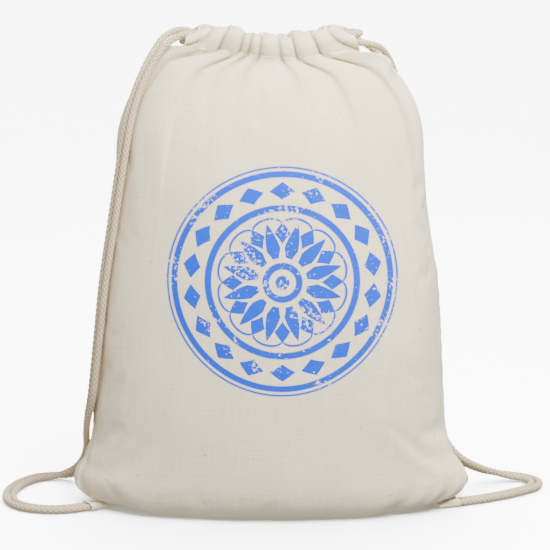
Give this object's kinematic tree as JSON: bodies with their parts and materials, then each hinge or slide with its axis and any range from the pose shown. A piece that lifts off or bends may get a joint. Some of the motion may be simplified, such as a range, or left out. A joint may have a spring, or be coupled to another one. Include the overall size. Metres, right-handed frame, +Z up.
{
  "type": "drawstring backpack",
  "caption": "Soft cotton drawstring backpack standing filled, with a gathered corded mouth and a doubled cord strap from the mouth to each bottom corner.",
  "frame": {"origin": "under the middle of the bag, on the surface it stands on", "axes": "+Z up; the printed front faces -Y; the wearer's cords end at the bottom corners on +X and -X"},
  "size_m": [0.4883, 0.167, 0.4245],
  "materials": {
    "cotton": "unbleached plain-weave cotton with small dark seed flecks",
    "printed_cotton": "unbleached plain-weave cotton with a round blue screen print",
    "thread": "cotton sewing thread and overlocked cloth edge",
    "cord": "braided natural cotton cord"
  },
  "bodies": {
    "bag": {"front_panel": "printed_cotton", "back_panel": "cotton", "left_side_seam": "thread", "right_side_seam": "thread", "bottom_seam": "thread", "left_corner_tab": "cotton", "right_corner_tab": "cotton", "left_cord_turn": "cord", "right_cord_turn": "cord"},
    "front_rim": {"front_casing": "cotton", "front_casing_stitching": "thread", "front_casing_left_tack": "thread", "front_casing_right_tack": "thread", "left_cord_front_run": "cord", "right_cord_front_run": "cord"},
    "back_rim": {"back_casing": "cotton", "back_casing_stitching": "thread", "back_casing_left_tack": "thread", "back_casing_right_tack": "thread", "left_cord_back_run": "cord", "right_cord_back_run": "cord"},
    "left_strap": {"left_cord_front_strand": "cord", "left_cord_back_strand": "cord"},
    "right_strap": {"right_cord_front_strand": "cord", "right_cord_back_strand": "cord"}
  },
  "joints": [
    {"name": "mouth_close", "type": "hinge", "parent": "bag", "child": "front_rim", "pos_m": [0, -0.012, 0.4145], "axis": [-1, 0, 0], "range_deg": [0, 50]},
    {"name": "mouth_close_back", "type": "hinge", "parent": "bag", "child": "back_rim", "pos_m": [0, 0.012, 0.4145], "axis": [1, 0, 0], "range_deg": [0, 50]},
    {"name": "left_strap_swing", "type": "hinge", "parent": "bag", "child": "left_strap", "pos_m": [-0.066, 0, 0.4178], "axis": [-0.2328, -0.0842, -0.9689], "range_deg": [-12, 0]},
    {"name": "right_strap_swing", "type": "hinge", "parent": "bag", "child": "right_strap", "pos_m": [0.066, 0, 0.4112], "axis": [0.2436, -0.0435, -0.9689], "range_deg": [0, 15]}
  ],
  "couplings": [
    {"joint": "mouth_close_back", "follows": "mouth_close", "ratio": 1}
  ]
}
